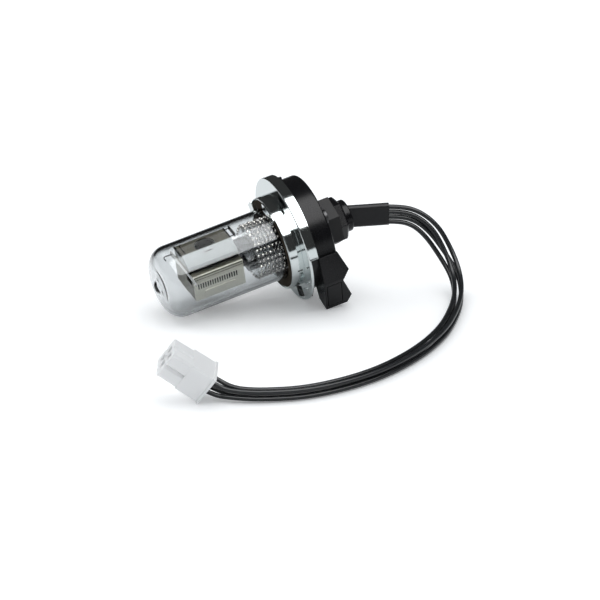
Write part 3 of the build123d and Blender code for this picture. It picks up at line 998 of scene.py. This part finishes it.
# Floor: a white table. Camera rays get a little more of it, so it reads as white and keeps the shadow;
# for the object's own light it ends a little way off, and the room past it is dim
studio = dict(
    edge=4.0,
    lift=0.16,
    fill=0.63,
    fillTint="#eef3f7",
    tableEnd=(0.3, 0.5),
    dark=0.04,
    panel=5.0,
    panelX=((-1.0, -0.8), (1.1, 0.9)),
    panelY=((-1.4, -1.22), (0.14, 0.02)),
    horizon=0.02,
)
softboxes = dict(
    softbox_overhead=dict(place=(0.3, 0.2, 2.0), target=(0, 0, 0), size=(2.5, 1.9), radiance=1.35),
    softbox_back=dict(place=(-1.2, 1.7, 1.9), target=seat, size=(1.2, 1.2), radiance=2.2),
)


def makeFloor(s):
    mesh = bpy.data.meshes.new("floor")
    edge = s["edge"]
    mesh.from_pydata(
        [(-edge, -edge, 0), (edge, -edge, 0), (edge, edge, 0), (-edge, edge, 0)], [], [(0, 1, 2, 3)]
    )
    floor = bpy.data.objects.new("floor", mesh)
    bpy.context.collection.objects.link(floor)
    material, tree, shader, output = newMaterial(
        "white_table", {"Roughness": 0.9, "Specular IOR Level": 0.0}
    )
    rays = addNode(tree, "ShaderNodeLightPath")
    place = addNode(tree, "ShaderNodeTexCoord")
    reach = addNode(tree, "ShaderNodeVectorMath", {"operation": "LENGTH"}, {0: place.outputs["Object"]})
    near = addNode(
        tree,
        "ShaderNodeMapRange",
        {"interpolation_type": "SMOOTHSTEP"},
        {
            "Value": reach.outputs["Value"],
            "From Min": s["tableEnd"][0],
            "From Max": s["tableEnd"][1],
            "To Min": 1.0,
            "To Max": s["dark"],
        },
    )
    shown = addNode(
        tree,
        "ShaderNodeMath",
        {"operation": "MAXIMUM"},
        {0: near.outputs[0], 1: rays.outputs["Is Camera Ray"]},
    )
    tree.links.new(shown.outputs[0], shader.inputs["Base Color"])
    glowLevel = addNode(
        tree,
        "ShaderNodeMath",
        {"operation": "MULTIPLY"},
        {0: rays.outputs["Is Camera Ray"], 1: s["lift"]},
    )
    glow = addNode(tree, "ShaderNodeEmission", inputs={"Strength": glowLevel.outputs[0]})
    both = addNode(tree, "ShaderNodeAddShader", inputs={0: shader.outputs[0], 1: glow.outputs[0]})
    tree.links.new(both.outputs[0], output.inputs["Surface"])
    mesh.materials.append(material)


# The softboxes light the object, and only the world's panel shows in its gloss
def softbox(name, s):
    data = bpy.data.lights.new(name, "AREA")
    data.shape = "RECTANGLE"
    data.size, data.size_y = s["size"]
    data.energy = s["radiance"] * math.pi * data.size * data.size_y
    lamp = bpy.data.objects.new(name, data)
    lamp.location = s["place"]
    lamp.rotation_mode = "QUATERNION"
    lamp.rotation_quaternion = (Vector(s["place"]) - Vector(s["target"])).to_track_quat("Z", "Y")
    lamp.visible_glossy = False
    lamp.visible_camera = False
    bpy.context.collection.objects.link(lamp)


# World: white to the camera and an even fill. Metal and glass see a dim room with one bright panel
# overhead, from a little behind the object to well in front of it
def makeWorld(s):
    world = bpy.data.worlds.new("studio")
    world.use_nodes = True
    tree = world.node_tree
    tree.nodes.clear()
    rays = addNode(tree, "ShaderNodeLightPath")
    toward = addNode(tree, "ShaderNodeTexCoord")
    parts = addNode(tree, "ShaderNodeSeparateXYZ", inputs={0: toward.outputs["Generated"]})
    rise = addNode(tree, "ShaderNodeMath", {"operation": "MAXIMUM"}, {0: parts.outputs["Z"], 1: s["horizon"]})
    panel = None
    for axis, edges in (("X", s["panelX"]), ("Y", s["panelY"])):
        spot = addNode(
            tree,
            "ShaderNodeMath",
            {"operation": "DIVIDE"},
            {0: parts.outputs[axis], 1: rise.outputs[0]},
        )
        for outside, inside in edges:
            side = addNode(
                tree,
                "ShaderNodeMapRange",
                {"interpolation_type": "SMOOTHSTEP"},
                {"Value": spot.outputs[0], "From Min": outside, "From Max": inside},
            )
            if panel is None:
                panel = side
            else:
                panel = addNode(
                    tree,
                    "ShaderNodeMath",
                    {"operation": "MULTIPLY"},
                    {0: panel.outputs[0], 1: side.outputs[0]},
                )
    level = addNode(
        tree,
        "ShaderNodeMath",
        {"operation": "MULTIPLY_ADD"},
        {0: panel.outputs[0], 1: s["panel"], 2: s["dark"]},
    )
    room = addNode(
        tree, "ShaderNodeBackground", inputs={"Color": (1, 1, 1, 1), "Strength": level.outputs[0]}
    )
    even = addNode(
        tree, "ShaderNodeBackground", inputs={"Color": colour(s["fillTint"]), "Strength": s["fill"]}
    )
    white = addNode(tree, "ShaderNodeBackground", inputs={"Color": (1, 1, 1, 1), "Strength": 1.0})
    clear = addNode(
        tree,
        "ShaderNodeMath",
        {"operation": "MAXIMUM"},
        {0: rays.outputs["Is Glossy Ray"], 1: rays.outputs["Is Transmission Ray"]},
    )
    light = addNode(
        tree,
        "ShaderNodeMixShader",
        inputs={0: clear.outputs[0], 1: even.outputs[0], 2: room.outputs[0]},
    )
    seen = addNode(
        tree,
        "ShaderNodeMixShader",
        inputs={0: rays.outputs["Is Camera Ray"], 1: light.outputs[0], 2: white.outputs[0]},
    )
    addNode(tree, "ShaderNodeOutputWorld", inputs={"Surface": seen.outputs[0]})
    bpy.context.scene.world = world


makeFloor(studio)
makeWorld(studio)
for name, values in softboxes.items():
    softbox(name, values)
bpy.context.scene.view_settings.view_transform = "Standard"
print("studio lit")
